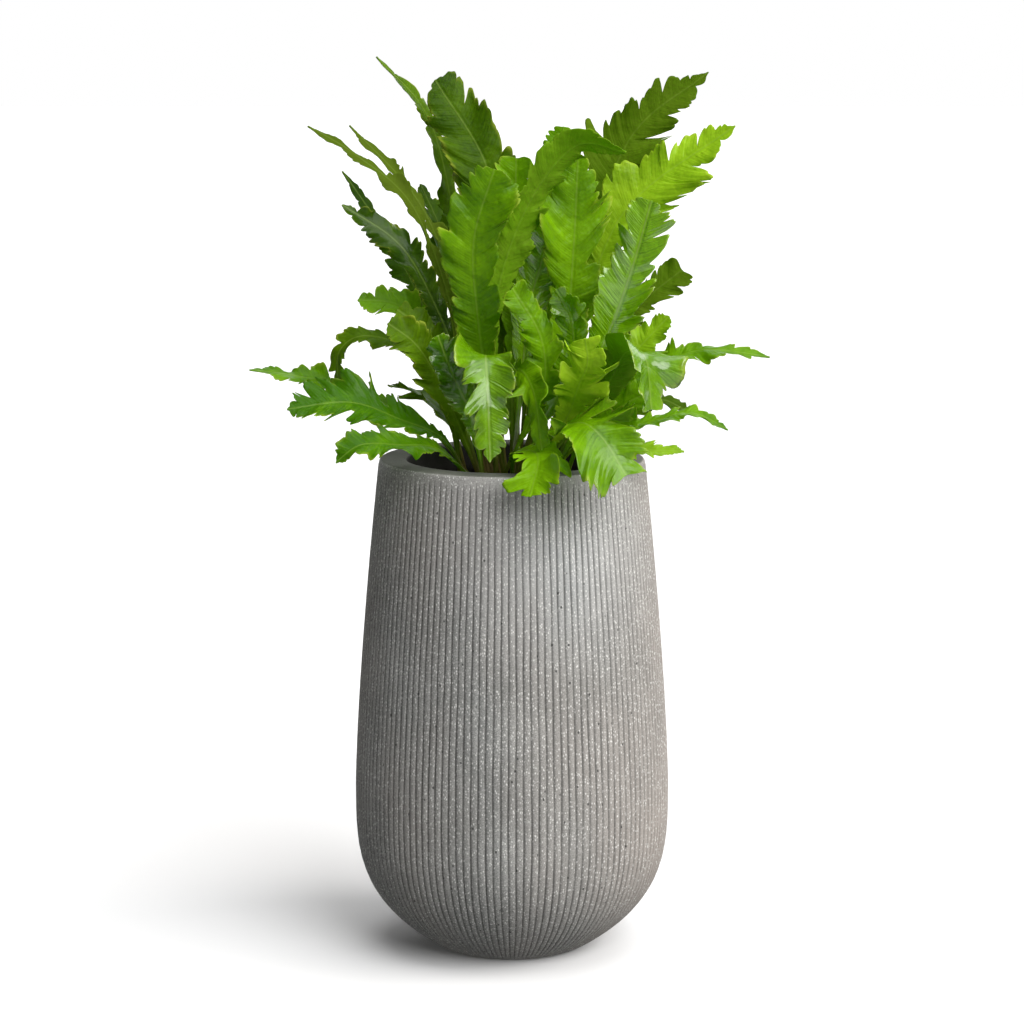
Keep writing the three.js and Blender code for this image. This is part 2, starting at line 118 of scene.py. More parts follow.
# %% A material and its nodes
class Finish:
    """A material under construction, ready for nodes, which ends in a Principled shader."""

    def __init__(self, name):
        self.material = bpy.data.materials.new(name)
        self.material.use_nodes = True
        self.tree = self.material.node_tree
        self.tree.nodes.clear()

    def node(self, kind, settings, inputs, output=0):
        """Any kind of node: its settings come first, then its inputs, each a number or a link."""
        made = self.tree.nodes.new(kind)
        for key, setting in settings.items():
            if key == "stops":
                for stop, (place, colour) in zip(self.ramp_stops(made, len(setting)), setting):
                    stop.position = place
                    stop.color = (*colour, 1)
            else:
                setattr(made, key, setting)
        for key, given in inputs.items():
            if isinstance(given, Value):
                self.tree.links.new(given.socket, made.inputs[key])
            else:
                made.inputs[key].default_value = given
        return Value(self, made.outputs[output]) if made.outputs else None

    def ramp_stops(self, made, count):
        while len(made.color_ramp.elements) < count:
            made.color_ramp.elements.new(1)
        return made.color_ramp.elements

    def attribute(self, name):
        return self.node("ShaderNodeAttribute", {"attribute_name": name}, {}, "Fac")

    def place(self, stretch=(1, 1, 1)):
        """Where a point lies on the object, in millimetres, stretched for grain that runs one way."""
        where = self.node("ShaderNodeTexCoord", {}, {}, "Object")
        scale = tuple(share / MM for share in stretch)
        return self.node("ShaderNodeVectorMath", {"operation": "MULTIPLY"}, {0: where, 1: scale})

    def noise(self, size, detail, where=None):
        """Cloudy values from 0 to 1, whose blots are about as wide as the size in millimetres."""
        inputs = {"Vector": where or self.place(), "Scale": 1 / size, "Detail": detail}
        return self.node("ShaderNodeTexNoise", {}, inputs)

    def mix(self, share, first, second):
        """From the first colour to the second as the share grows."""
        colours = {6: self.colour(first), 7: self.colour(second)}
        return self.node("ShaderNodeMix", {"data_type": "RGBA"}, {0: share, **colours}, 2)

    def colour(self, given):
        return given if isinstance(given, Value) else (*given, 1)

    def surface(self, inputs, height=None, depth=0.0):
        """The Principled shader. As the height goes from 0 to 1, its bump rises by the depth in mm."""
        if height is not None:
            bump = {"Height": height, "Distance": depth * MM, "Strength": 1.0}
            inputs = {**inputs, "Normal": self.node("ShaderNodeBump", {}, bump)}
        return self.node("ShaderNodeBsdfPrincipled", {}, inputs)

    def done(self, shader):
        self.node("ShaderNodeOutputMaterial", {}, {"Surface": shader})
        print("finish:", self.material.name, len(self.tree.nodes), "nodes")
        return self.material


# %% [markdown]
# A plant in a catalogue stands on a white floor that runs into a white background. A big plane with a
# matt white finish does for the floor. The world is white where the camera sees it and dim as a source
# of light, because a bright world would light the planter from every side and take its shading away.

# %% The floor and the world behind it
FLOOR_HALF = 20.0
FLOOR_DROP = 0.0002
FLOOR_WHITE = (0.75, 0.75, 0.75)
WORLD_GLOW = 0.17

floor_mesh = bpy.data.meshes.new("floor")
corners = [(-1, -1), (1, -1), (1, 1), (-1, 1)]
floor_points = [(x * FLOOR_HALF, y * FLOOR_HALF, -FLOOR_DROP) for x, y in corners]
floor_mesh.from_pydata(floor_points, [], [(0, 1, 2, 3)])
floor = bpy.data.objects.new("floor", floor_mesh)
bpy.context.scene.collection.objects.link(floor)
paper = Finish("white_floor")
floor_mesh.materials.append(paper.done(paper.surface({"Base Color": (*FLOOR_WHITE, 1), "Roughness": 0.9})))
floor.visible_diffuse = False

world = bpy.data.worlds.new("studio")
world.use_nodes = True
bpy.context.scene.world = world
background = world.node_tree.nodes["Background"]
background.inputs["Color"].default_value = (1, 1, 1, 1)
seen = world.node_tree.nodes.new("ShaderNodeLightPath")
strength = world.node_tree.nodes.new("ShaderNodeMapRange")
strength.inputs["To Min"].default_value = WORLD_GLOW
strength.inputs["To Max"].default_value = 1.0
world.node_tree.links.new(seen.outputs["Is Camera Ray"], strength.inputs["Value"])
world.node_tree.links.new(strength.outputs["Result"], background.inputs["Strength"])
bpy.context.scene.view_settings.view_transform = "Standard"
print("world glow:", WORLD_GLOW)

# %% [markdown]
# The light is soft and comes from the front right. The planter's shade goes from light on the right to
# dark on the left, and a faint shadow lies on the floor at the left. Area lamps could give it, but a
# sun's soft edge is the same at any distance, so four suns with wide discs do: one in front, a warmer
# one at the side, one overhead that keeps the floor white as far as the eye goes, and a weak one behind
# that shines through the blades and shortens the shadow.

# %% The lamps
PLANT_MIDDLE = (0, 0, 0.4)
WHITE_LIGHT = (1, 1, 1)
WARM_LIGHT = (1, 0.97, 0.94)


def add_sun(name, place, energy, width, colour):
    """A sun at a place in metres that shines on the plant. Its width is the angle of its disc in degrees."""
    data = bpy.data.lights.new(name, "SUN")
    data.energy = energy
    data.angle = math.radians(width)
    data.color = colour
    lamp = bpy.data.objects.new(name, data)
    lamp.location = place
    away = [p - a for p, a in zip(place, PLANT_MIDDLE)]
    turn = math.atan2(away[1], away[0])
    tilt = math.atan2(math.hypot(away[0], away[1]), away[2])
    lamp.rotation_euler = (0, tilt, turn)
    bpy.context.scene.collection.objects.link(lamp)
    print("lamp:", name, energy)


add_sun("front_sun", (1.5, -2.2, 2.2), 3.1, 42, WHITE_LIGHT)
add_sun("side_sun", (2.3, -0.5, 2.2), 1.9, 34, WARM_LIGHT)
add_sun("overhead_sun", (0.3, -0.2, 3.0), 1.7, 50, WHITE_LIGHT)
add_sun("back_sun", (0.9, 2.6, 1.7), 0.9, 45, WHITE_LIGHT)

# %% [markdown]
# Every piece is a mesh of rows and columns of points. A mesh could be drawn with bmesh one face at a
# time, but whole arrays are quicker and shorter: the helper below joins each ring of points to the
# next, and closes both ends, so that each piece is one closed body that could be printed.

# %% Rings of points become a closed piece
def ring_faces(rows, columns, flat_ends=False):
    """Faces between rings of points. The ends close on one point each, or flat across their own ring."""
    start = 0 if flat_ends else 1
    here = start + np.arange(rows - 1)[:, None] * columns + np.arange(columns)[None, :]
    beside = start + np.arange(rows - 1)[:, None] * columns + (np.arange(columns)[None, :] + 1) % columns
    faces = np.stack([here, beside, beside + columns, here + columns], -1).reshape(-1, 4).tolist()
    last = start + (rows - 1) * columns
    for i in range(columns):
        after = (i + 1) % columns
        if not flat_ends:
            faces.append((0, start + after, start + i))
            faces.append((last + columns, last + i, last + after))
    for i in range(columns // 2 - 1) if flat_ends else ():
        mate = columns - 1 - i
        faces.append((i, mate, mate - 1, i + 1))
        faces.append((last + i, last + i + 1, last + mate - 1, last + mate))
    return faces


def mesh_object(name, points, faces, material):
    """A mesh in metres, from points in millimetres, which stays with the root."""
    mesh = bpy.data.meshes.new(name)
    mesh.from_pydata((np.asarray(points) * MM).tolist(), [], faces)
    mesh.materials.append(material)
    made = bpy.data.objects.new(name, mesh)
    bpy.context.scene.collection.objects.link(made)
    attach(made, "root")
    return made


def add_piece(name, points, faces, material, node, values=None):
    """A smooth mesh which stands for one CAD node, with a number at each point for each value."""
    piece = mesh_object(name, points, faces, material)
    mesh = piece.data
    mesh.polygons.foreach_set("use_smooth", [True] * len(mesh.polygons))
    for key, column in (values or {}).items():
        attribute = mesh.attributes.new(key, "FLOAT", "POINT")
        attribute.data.foreach_set("value", np.ravel(column).astype(np.float32))
    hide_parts(node)
    return piece


# %% [markdown]
# The planter is cast in fibre cement. Its colour is a cool grey, clouded on a large scale and streaked
# upwards on a small one. The right side, which the lamps face, is painted lighter and browner as painted
# warm light, and a lighter patch under the rim at the front right is painted light where the fronds
# shade it. White grains of sand show in the surface, and here and there an air bubble has left a small
# pit, painted near black as painted shade. The grooves are darkened as painted shade, the rim's top is
# darker and a little green, and the inside is painted near black as painted shade. A painted picture
# could be wrapped round it, but noise that is worked out in space has no seam and no stretch.

# %% The cement
GRAINS_PER_MM = 0.62
# Where the painted warm light on the planter's right side begins, and how wide its ramp is, in mm.
PAINTED_WARMTH_FROM = 45
PAINTED_WARMTH_WIDTH = 90
# Centre and reach, in mm, of the patch of painted light under the rim at the front right.
PAINTED_LIGHT_PLACE = (38, -95, 330)
PAINTED_LIGHT_REACH = 95


def cement_finish():
    cement = Finish("cement")
    clouds = cement.noise(60, 4)
    streaks = cement.noise(5, 4, cement.place((1, 1, 0.12)))
    grit = cement.noise(1.0, 3)
    tone = (clouds * 0.45 + streaks * 0.4 + (grit - 0.5) * 1.3 + 0.08).held()
    stops = [(0.1, (0.12, 0.124, 0.118)), (0.5, (0.26, 0.262, 0.25)), (0.9, (0.46, 0.455, 0.435))]
    body = cement.node("ShaderNodeValToRGB", {"stops": stops}, {"Fac": tone})
    warm = cement.noise(90, 2, cement.place((1, 1, 0.5))).above(0.55, 0.3) * 0.35
    body = cement.mix(warm, body, (0.34, 0.3, 0.27))
    # Painted warm light: the side at positive X, which the lamps face, is made lighter and browner.
    across = cement.node("ShaderNodeSeparateXYZ", {}, {"Vector": cement.place()}, "X")
    painted_warmth = ((across - PAINTED_WARMTH_FROM) / PAINTED_WARMTH_WIDTH).held() * (0.35 + 0.65 * clouds)
    body = cement.mix(painted_warmth * 0.75, body, (0.36, 0.295, 0.255))
    # Painted light: a lighter patch under the rim at the front right, where the hanging fronds shade the
    # planter.
    ends = {0: cement.place(), 1: PAINTED_LIGHT_PLACE}
    far_off = cement.node("ShaderNodeVectorMath", {"operation": "DISTANCE"}, ends, "Value")
    painted_light = (1.15 - far_off / PAINTED_LIGHT_REACH).held() * (0.5 + clouds)
    body = cement.mix(painted_light * 0.35, body, (0.6, 0.61, 0.61))
    groove = cement.attribute("groove")
    # Painted shade: the grooves are painted darker, as if in shade.
    body = cement.mix(groove * 0.68, body, (0.055, 0.056, 0.05))
    spot = cement.place((1, 1, 0.62))
    cells = cement.node("ShaderNodeTexVoronoi", {}, {"Vector": spot, "Scale": GRAINS_PER_MM})
    lot = cement.node("ShaderNodeTexVoronoi", {}, {"Vector": spot, "Scale": GRAINS_PER_MM}, "Color")
    lot = cement.node("ShaderNodeSeparateColor", {}, {"Color": lot})
    thick_of = cement.noise(22, 2).above(0.45, 0.35)
    rim = cement.attribute("rim")
    grain = (1 - cells.above(0.29, 0.18)) * lot.above(0.56 - thick_of * 0.32, 0.08) * (1 - groove * 0.9)
    grain = (grain * (1 - rim * 0.7)).held()
    body = cement.mix(grain * 0.75, body, (0.78, 0.77, 0.74))
    holes = cement.node("ShaderNodeTexVoronoi", {}, {"Vector": cement.place((1, 1, 0.7)), "Scale": 0.1})
    pit = 1 - holes.above(0.075, 0.03)
    # Painted shade: each pit is painted near black for the shade inside it; the bump below also dents it.
    body = cement.mix(pit * 0.85, body, (0.03, 0.03, 0.028))
    body = cement.mix(rim * 0.8, body, (0.075, 0.083, 0.06))
    # Painted shade: the inside of the planter is painted near black.
    body = cement.mix(cement.attribute("inside") * 0.93, body, (0.012, 0.011, 0.008))
    height = (grit * 0.5 + streaks * 0.25 + grain * 0.35 - pit * 1.2 + 0.4).held()
    return cement.done(cement.surface({"Base Color": body, "Roughness": 0.86}, height, 0.35))


CEMENT = cement_finish()

# %% [markdown]
# The planter's outside is a curve turned round the axis: a full belly low down, then a slow taper to
# the rim. A groove between every two of its 132 ribs is cut into it, narrow, with soft edges, and it
# wavers a little, because the mould was made by hand. The ribs run out just under the rim and at the
# foot. A bump map would do for the shade, but not for the planter's outline, so the grooves are real.
# The section runs from the foot over the rim and down to the floor inside, so the wall is real as well.

# %% The planter's sizes
POT_HEIGHT = 380
FOOT_RADIUS = 57
BELLY_RADIUS = 121
BELLY_HEIGHT = 125
RIM_RADIUS = 101.4
MOUTH_RADIUS = 80
WALL = 10
POT_FLOOR = 14
RIM_ROUND = 3
BELLY_POWER = 3.4
TAPER_POWER = 1.4
FOOT_HEIGHTS = 4 + 50 * np.linspace(0, 1, 22) ** 1.3
SIDE_HEIGHTS = np.linspace(60, 366, 34)
UNDER_RIM_HEIGHTS = (369, 372, 375)
MOUTH_HEIGHTS = (372, 365, 358)
INSIDE_HEIGHTS = (350, 344, 250, 125, 50, POT_FLOOR)
RIB_COUNT = 132
RIBS_FROM = 1
RIBS_DEEPEN = 6
RIBS_UP_TO = 374
RIBS_FADE = 9
CAST_ROUGHNESS = 0.12
SWAY_WAVES = ((0.035, 31), (0.03, 13))
GROOVE_DEPTH = 1.3
GROOVE_SHAPE = [
    (0, 1), (0.07, 0.72), (0.15, 0.22), (0.3, 0.04), (0.5, 0), (0.7, 0.04), (0.85, 0.22), (0.93, 0.72),
]


def pot_radius(z):
    rise = 1 - np.minimum(z, BELLY_HEIGHT) / BELLY_HEIGHT
    below = FOOT_RADIUS + (BELLY_RADIUS - FOOT_RADIUS) * (1 - rise ** BELLY_POWER)
    above = np.maximum(0, z - BELLY_HEIGHT) / (POT_HEIGHT - BELLY_HEIGHT)
    return below - (BELLY_RADIUS - RIM_RADIUS) * above ** TAPER_POWER


print("planter:", 2 * BELLY_RADIUS, "mm wide,", POT_HEIGHT, "mm high")


# %% The planter
def quarter_round(radius, z, corner, start):
    """Five places on a quarter of a circle, from the start angle on, as (radius, height)."""
    turns = np.radians(start + np.linspace(0, 90, 5))
    return [(radius + corner * math.cos(a), z + corner * math.sin(a)) for a in turns]


def planter_section():
    """The planter's section as (radius, height), and the first row on the mouth's side of its rim."""
    heights = np.concatenate([FOOT_HEIGHTS, SIDE_HEIGHTS, UNDER_RIM_HEIGHTS])
    section = [(FOOT_RADIUS - 2, 0), (FOOT_RADIUS - 0.5, 0.5), (float(pot_radius(2)), 2)]
    section += [(float(pot_radius(z)), float(z)) for z in heights]
    section += quarter_round(RIM_RADIUS - RIM_ROUND, POT_HEIGHT - RIM_ROUND, RIM_ROUND, 0)
    on_top = len(section)
    section += quarter_round(MOUTH_RADIUS + RIM_ROUND, POT_HEIGHT - RIM_ROUND, RIM_ROUND, 90)
    section += [(MOUTH_RADIUS, z) for z in MOUTH_HEIGHTS]
    section += [(float(pot_radius(z)) - WALL, z) for z in INSIDE_HEIGHTS]
    return np.array(section), on_top


def sway(z, waver, rib):
    """How far a rib wavers to one side at each height, in widths of a rib."""
    return sum(share * np.sin(z / size + waver[k, rib]) for k, (share, size) in enumerate(SWAY_WAVES))


def planter():
    section, on_top = planter_section()
    radius, z = section[:, :1], section[:, 1:]
    share = np.array([place for place, _ in GROOVE_SHAPE])
    depth = np.tile([deep for _, deep in GROOVE_SHAPE], RIB_COUNT)
    rng = np.random.default_rng(7)
    waver = rng.uniform(0, 2 * math.pi, (3, RIB_COUNT))
    turn = np.repeat(np.arange(RIB_COUNT), len(share)) + 0.5 + np.tile(share, RIB_COUNT)
    rib = np.floor(turn - 0.5).astype(int) % RIB_COUNT
    after = (rib + 1) % RIB_COUNT
    across = (turn - 0.5) % 1
    turn = turn + sway(z, waver, rib) * (1 - across) + sway(z, waver, after) * across
    fade = np.clip((z - RIBS_FROM) / RIBS_DEEPEN, 0, 1) * np.clip((RIBS_UP_TO - z) / RIBS_FADE, 0, 1)
    fade[on_top:] = 0
    wear = 0.85 + 0.15 * np.sin(z / 23 + waver[2, rib])
    groove = depth * fade * wear
    rough = CAST_ROUGHNESS * np.sin(turn * 9 + z / 3) * np.sin(turn * 3.1 + z / 7) * fade
    angle = turn * 2 * math.pi / RIB_COUNT
    r = radius - GROOVE_DEPTH * groove + rough
    ring = np.stack([r * np.cos(angle), r * np.sin(angle), np.broadcast_to(z, angle.shape)], -1)
    points = np.concatenate([[(0, 0, 0)], ring.reshape(-1, 3), [(0, 0, POT_FLOOR)]])
    row = np.arange(len(section))[:, None]
    marks = {"groove": groove, "rim": (row >= on_top - 2) * 1.0, "inside": (row >= on_top + 3) * 1.0}
    values = {}
    for key, mark in marks.items():
        values[key] = np.concatenate([[0], np.ravel(np.broadcast_to(mark, angle.shape)), [0]])
    faces = ring_faces(*angle.shape)
    return add_piece("planter_cast", points, faces, CEMENT, "planter", values)


planter_cast = planter()
print("planter faces:", len(planter_cast.data.polygons))

# %% [markdown]
# Peat fills the planter to a little below its lip. It is a heap of crumbs: waves of several lengths,
# laid over each other, make it uneven enough, since only glimpses of it show between the stalks. It
# has a round seat in the middle for the crown.

# %% The peat
SOIL_TOP = 350
CLEARANCE = 0.35
CROWN_RADIUS = 43
CROWN_RISE = 9
CROWN_SUNK = 12
LUMP_SIZES = (26, 15, 9, 6, 4)
WAVES_PER_SIZE = 4
LUMP_SHARE = 0.03
TURN_STEPS = 160


def peat_finish():
    peat = Finish("peat")
    crumbs = peat.noise(4, 5)
    fibres = peat.noise(1.2, 3)
    tone = (crumbs * 0.7 + fibres * 0.3).held()
    stops = [(0.3, (0.008, 0.006, 0.004)), (0.55, (0.028, 0.019, 0.012)), (0.75, (0.075, 0.05, 0.03))]
    body = peat.node("ShaderNodeValToRGB", {"stops": stops}, {"Fac": tone})
    return peat.done(peat.surface({"Base Color": body, "Roughness": 0.95}, tone, 1.5))


def peat_fill():
    heights = [POT_FLOOR + CLEARANCE, 50, 125, 250, 343]
    profile = [(float(pot_radius(z)) - WALL - CLEARANCE, z) for z in heights]
    edge = MOUTH_RADIUS - CLEARANCE
    profile += [(edge - 1, 346), (edge - 2, 348)]
    profile += [(r, SOIL_TOP) for r in np.linspace(edge - 4, CROWN_RADIUS + CLEARANCE, 22)]
    profile += [(CROWN_RADIUS + CLEARANCE, SOIL_TOP - CROWN_SUNK - CLEARANCE)]
    profile = np.array(profile)
    turn = np.linspace(0, 2 * math.pi, TURN_STEPS + 1)[None, :-1]
    r, z = profile[:, :1], profile[:, 1:]
    x, y = r * np.cos(turn), r * np.sin(turn)
    rng = np.random.default_rng(11)
    lumps = np.zeros(x.shape)
    for size in LUMP_SIZES:
        for _ in range(WAVES_PER_SIZE):
            way = rng.uniform(0, 2 * math.pi)
            along = x * math.cos(way) + y * math.sin(way)
            wave = np.sin(along * 2 * math.pi / size + rng.uniform(0, 6.3))
            lumps += wave * size * LUMP_SHARE
    open_top = (z == SOIL_TOP) & (r > CROWN_RADIUS + 1)
    top = z + np.where(open_top, lumps, 0)
    ring = np.stack([x, y, np.broadcast_to(top, x.shape)], -1).reshape(-1, 3)
    points = np.concatenate([[(0, 0, POT_FLOOR + CLEARANCE)], ring, [(0, 0, profile[-1, 1])]])
    faces = ring_faces(len(profile), TURN_STEPS)
    return add_piece("peat_fill", points, faces, peat_finish(), "soil")


print("peat faces:", len(peat_fill().data.polygons))

# %% [markdown]
# The crown is the fern's short rootstock. Brown papery scales cover it between the stalks. Its CAD
# solid has the right shape and keeps its place, with a bark finish, and the scales are one more piece.
# They could be scattered at random, but a spiral spreads them more evenly: a loop sets small pointed
# flakes on the dome along it, each turned outwards and up by an amount of its own.

# %% The crown
SCALED_RADIUS = 41.5
SCALE_COUNT = 290
SCALE_LEANS = (15, 60)
SCALE_LENGTHS = (5, 10)
SCALE_HALVES = (0.9, 1.6)
SCALE_SUNK = 1.2
SCALE_BEND = 0.12
TIP_BEND = 0.15
SCALE_FRONT, SCALE_BACK = 0.35, 0.2
SCALE_WIDTHS = ((0, 0.8), (0.35, 1), (0.75, 0.6))
GOLDEN_TURN = math.pi * (3 - math.sqrt(5))


def bark_finish(name, dark, light):
    bark = Finish(name)
    fibres = bark.noise(1.5, 4, bark.place((1, 1, 0.25)))
    body = bark.mix(fibres.above(0.5, 0.5), dark, light)
    return bark.done(bark.surface({"Base Color": body, "Roughness": 0.85}, fibres, 0.6))


def crown_height(r):
    return SOIL_TOP + CROWN_RISE * (1 - (r / CROWN_RADIUS) ** 2)


def crown_scales():
    rng = np.random.default_rng(5)
    points, faces = [], []
    for k in range(SCALE_COUNT):
        r = SCALED_RADIUS * math.sqrt((k + 0.5) / SCALE_COUNT)
        turn = k * GOLDEN_TURN
        out = np.array([math.cos(turn), math.sin(turn), 0])
        side = np.array([-math.sin(turn), math.cos(turn), 0])
        lean = math.radians(rng.uniform(*SCALE_LEANS))
        along = out * math.sin(lean) + np.array([0, 0, math.cos(lean)])
        flat = np.cross(side, along)
        foot = out * r + np.array([0, 0, float(crown_height(r)) - SCALE_SUNK])
        length, half = rng.uniform(*SCALE_LENGTHS), rng.uniform(*SCALE_HALVES)
        start = len(points)
        for share, width in SCALE_WIDTHS:
            middle = foot + along * length * share + flat * length * SCALE_BEND * share ** 2
            across, front, back = side * half * width, flat * SCALE_FRONT, flat * SCALE_BACK
            points += [middle + across, middle + front, middle - across, middle - back]
        points.append(foot + along * length + flat * length * TIP_BEND)
        faces.append((start, start + 1, start + 2, start + 3))
        for row in (0, 4):
            for i in range(4):
                j = (i + 1) % 4
                faces.append((start + row + i, start + row + 4 + i, start + row + 4 + j, start + row + j))
        faces += [(start + 8 + i, start + 12, start + 8 + (i + 1) % 4) for i in range(4)]
    papery = bark_finish("papery_scale", (0.05, 0.025, 0.01), (0.22, 0.12, 0.05))
    scales = mesh_object("crown_scales", points, faces, papery)
    return scales


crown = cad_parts["crown"]
crown.data.materials.clear()
crown.data.materials.append(bark_finish("crown_bark", (0.025, 0.014, 0.007), (0.1, 0.055, 0.025)))
print("scale faces:", len(crown_scales().data.polygons))

# %% [markdown]
# A frond starts as its rib: a smooth curve that leaves its hole in the crown straight and then runs
# through a few listed places. A curve object could hold it, but the blade needs a point and three
# directions at each step along it, so the curve is worked out here, the same way as in the CAD source:
# a spline through the places, and a frame carried along it that never spins about the rib. The roots
# stand in rings on the crown. Each ring is a radius, the lean of its stalks in degrees, and how many
# places it has.

# %% The rib as a curve
CURVE_STEPS = 3000
FRAME_STEPS = 200
ROOT_DEPTH = 7
ROOT_GAP = 0.3
ROOT_ABOVE = 7
STALK_SHARE = 0.2
CARRIED_FROM = 0.6
RINGS = [(30, 26, 16), (22.5, 19, 13), (15.5, 12, 10), (8.5, 6, 6), (0, 0, 1), (36.8, 32, 18)]


print("roots on the crown:", sum(roots for _, _, roots in RINGS))


def unit(vectors):
    return vectors / np.linalg.norm(vectors, axis=-1, keepdims=True)


def spline(places):
    """Points along a smooth curve through the places, and the length of the curve up to each."""
    padded = np.vstack([2 * places[0] - places[1], places, 2 * places[-1] - places[-2]])
    where = np.linspace(0, len(places) - 1, CURVE_STEPS + 1)
    step = np.minimum(where.astype(int), len(places) - 2)
    t = (where - step)[:, None]
    a, b, c, d = (padded[step + k] for k in range(4))
    leave, arrive = (c - a) / 2, (d - b) / 2
    curve = b + leave * t + (3 * c - 3 * b - 2 * leave - arrive) * t ** 2
    curve += (2 * b - 2 * c + leave + arrive) * t ** 3
    lengths = np.concatenate([[0], np.cumsum(np.linalg.norm(np.diff(curve, axis=0), axis=1))])
    return curve, lengths


def along_curve(curve, lengths, shares):
    at = np.asarray(shares) * lengths[-1]
    return np.stack([np.interp(at, lengths, curve[:, k]) for k in range(3)], -1)


def square_to(tangent, face):
    return unit(face - tangent * np.sum(face * tangent, axis=-1, keepdims=True))


def turned(vectors, axes, angles):
    """The vectors turned about their axes, which are square to them."""
    angles = np.asarray(angles)[:, None]
    return vectors * np.cos(angles) + np.cross(axes, vectors) * np.sin(angles)


def rib_frames(curve, lengths, face, twist):
    """Tangents and upward directions at even steps, carried from the middle and then twisted."""
    shares = np.linspace(0, 1, FRAME_STEPS + 1)
    near = 1e-4
    ahead = along_curve(curve, lengths, np.minimum(shares + near, 1))
    behind = along_curve(curve, lengths, np.maximum(shares - near, 0))
    tangents = unit(ahead - behind)
    middle = round(FRAME_STEPS * CARRIED_FROM)
    faces = np.zeros_like(tangents)
    faces[middle] = square_to(tangents[middle], np.array(face, float))
    for i in range(middle + 1, FRAME_STEPS + 1):
        faces[i] = square_to(tangents[i], faces[i - 1])
    for i in range(middle - 1, -1, -1):
        faces[i] = square_to(tangents[i], faces[i + 1])
    turn = np.radians(twist * (np.arange(FRAME_STEPS + 1) - middle) / FRAME_STEPS)
    return tangents, turned(faces, tangents, turn)


# %% [markdown]
# The blade's margin is cut into lobes like rounded fingers that point forwards, with narrow cuts
# between them, and each lobe has small scallops, teeth and now and then a slit. It could be drawn as an
# outline and filled in, but then the mesh wouldn't follow the veins. Here each row of the mesh follows a
# vein from the rib to the margin, so a cut is only a few rows that end early. The rows crowd together
# next to the cuts, where the outline is steepest.

# %% The margin of a blade
RISE_POWER = 1.4
STALK_HALF = 1.7
ROWS_PER_STATION = 16
SCALLOP_DEPTH = 2.6
SKEW = 0.22


def draws(seed):
    """A repeatable run of numbers from 0 to 1, the same as in the CAD source."""
    state = seed
    while True:
        state = state * 16807 % 2147483647
        yield state / 2147483647


def blade_shape(u, fall):
    """The half-width of an uncut blade, as a share of its widest. A small fall makes a blunt tip."""
    widest = RISE_POWER / (RISE_POWER + fall)
    return (u / widest) ** RISE_POWER * (np.maximum(1 - u, 0) / (1 - widest)) ** fall


